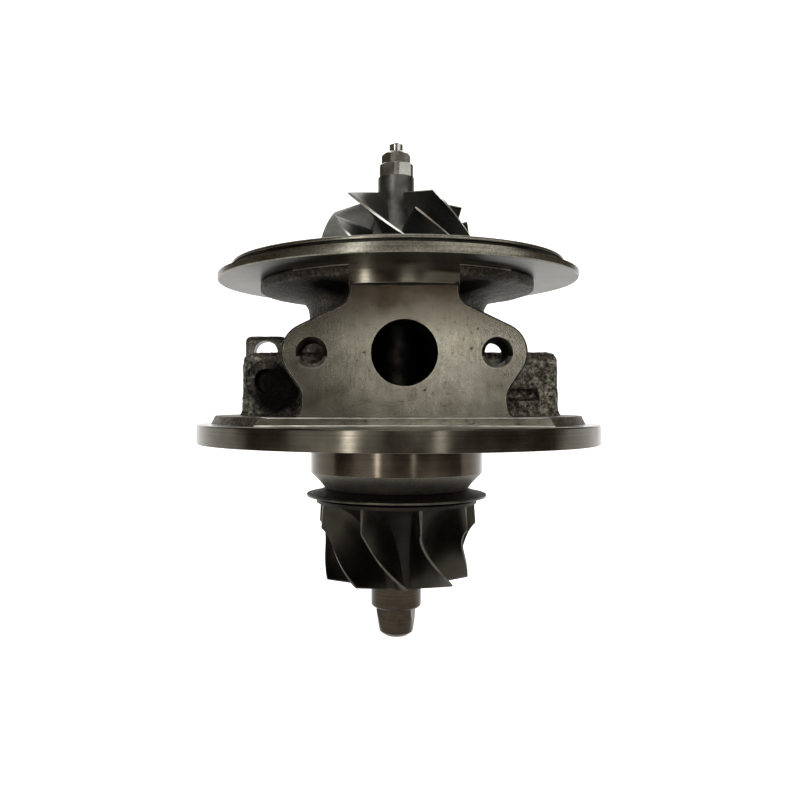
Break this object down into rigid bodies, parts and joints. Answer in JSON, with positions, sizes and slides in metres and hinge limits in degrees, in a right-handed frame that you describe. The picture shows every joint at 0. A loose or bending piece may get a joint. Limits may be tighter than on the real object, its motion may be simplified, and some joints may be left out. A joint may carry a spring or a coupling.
{
  "type": "turbocharger cartridge",
  "caption": "Turbocharger centre cartridge: cast bearing housing with clamping flanges and an oil drain flange, carrying a bladed turbine and compressor rotor on floating bushes.",
  "frame": {"origin": "on the rotor axis, in the plane of the turbine-side mounting face of the housing flange", "axes": "+Z along the rotor towards the compressor wheel, -Y out of the oil drain flange, +X to the right seen from the drain flange"},
  "size_m": [0.1098, 0.1098, 0.1368],
  "materials": {
    "housing_iron": "rough cast with turned and milled faces",
    "shield_steel": "pressed sheet, dull",
    "turbine_alloy": "investment cast, dull",
    "shaft_steel": "ground",
    "wheel_aluminium": "cast with turned blade edges",
    "nut_steel": "bright",
    "bearing_bronze": "turned",
    "spring_steel": "blackened",
    "pin_steel": "ground",
    "sheet_steel": "pressed sheet",
    "plate_iron": "turned",
    "seal_rubber": "matte"
  },
  "bodies": {
    "housing": {"bearing_housing": "housing_iron", "heat_shield": "shield_steel", "thrust_bearing": "bearing_bronze", "turbine_clip_lower": "spring_steel", "turbine_clip_upper": "spring_steel", "compressor_clip_lower": "spring_steel", "compressor_clip_upper": "spring_steel", "retaining_ring": "spring_steel", "turbine_piston_ring": "spring_steel", "compressor_piston_ring": "spring_steel", "thrust_pin_left": "pin_steel", "thrust_pin_right": "pin_steel", "oil_deflector": "sheet_steel", "seal_plate": "plate_iron", "seal_plate_o_ring": "seal_rubber"},
    "rotor": {"turbine_wheel": "turbine_alloy", "rotor_shaft": "shaft_steel", "thrust_ring": "shaft_steel", "thrust_spacer": "shaft_steel", "flinger_sleeve": "shaft_steel", "compressor_wheel": "wheel_aluminium", "compressor_nut": "nut_steel"},
    "turbine_bush": {"turbine_journal_bearing": "bearing_bronze"},
    "compressor_bush": {"compressor_journal_bearing": "bearing_bronze"}
  },
  "joints": [
    {"name": "rotor_spin", "type": "hinge", "parent": "housing", "child": "rotor", "pos_m": [0, 0, 0], "axis": [0, 0, 1], "continuous": true},
    {"name": "turbine_bush_spin", "type": "hinge", "parent": "housing", "child": "turbine_bush", "pos_m": [0, 0, 0.005], "axis": [0, 0, 1], "continuous": true},
    {"name": "compressor_bush_spin", "type": "hinge", "parent": "housing", "child": "compressor_bush", "pos_m": [0, 0, 0.027], "axis": [0, 0, 1], "continuous": true}
  ]
}
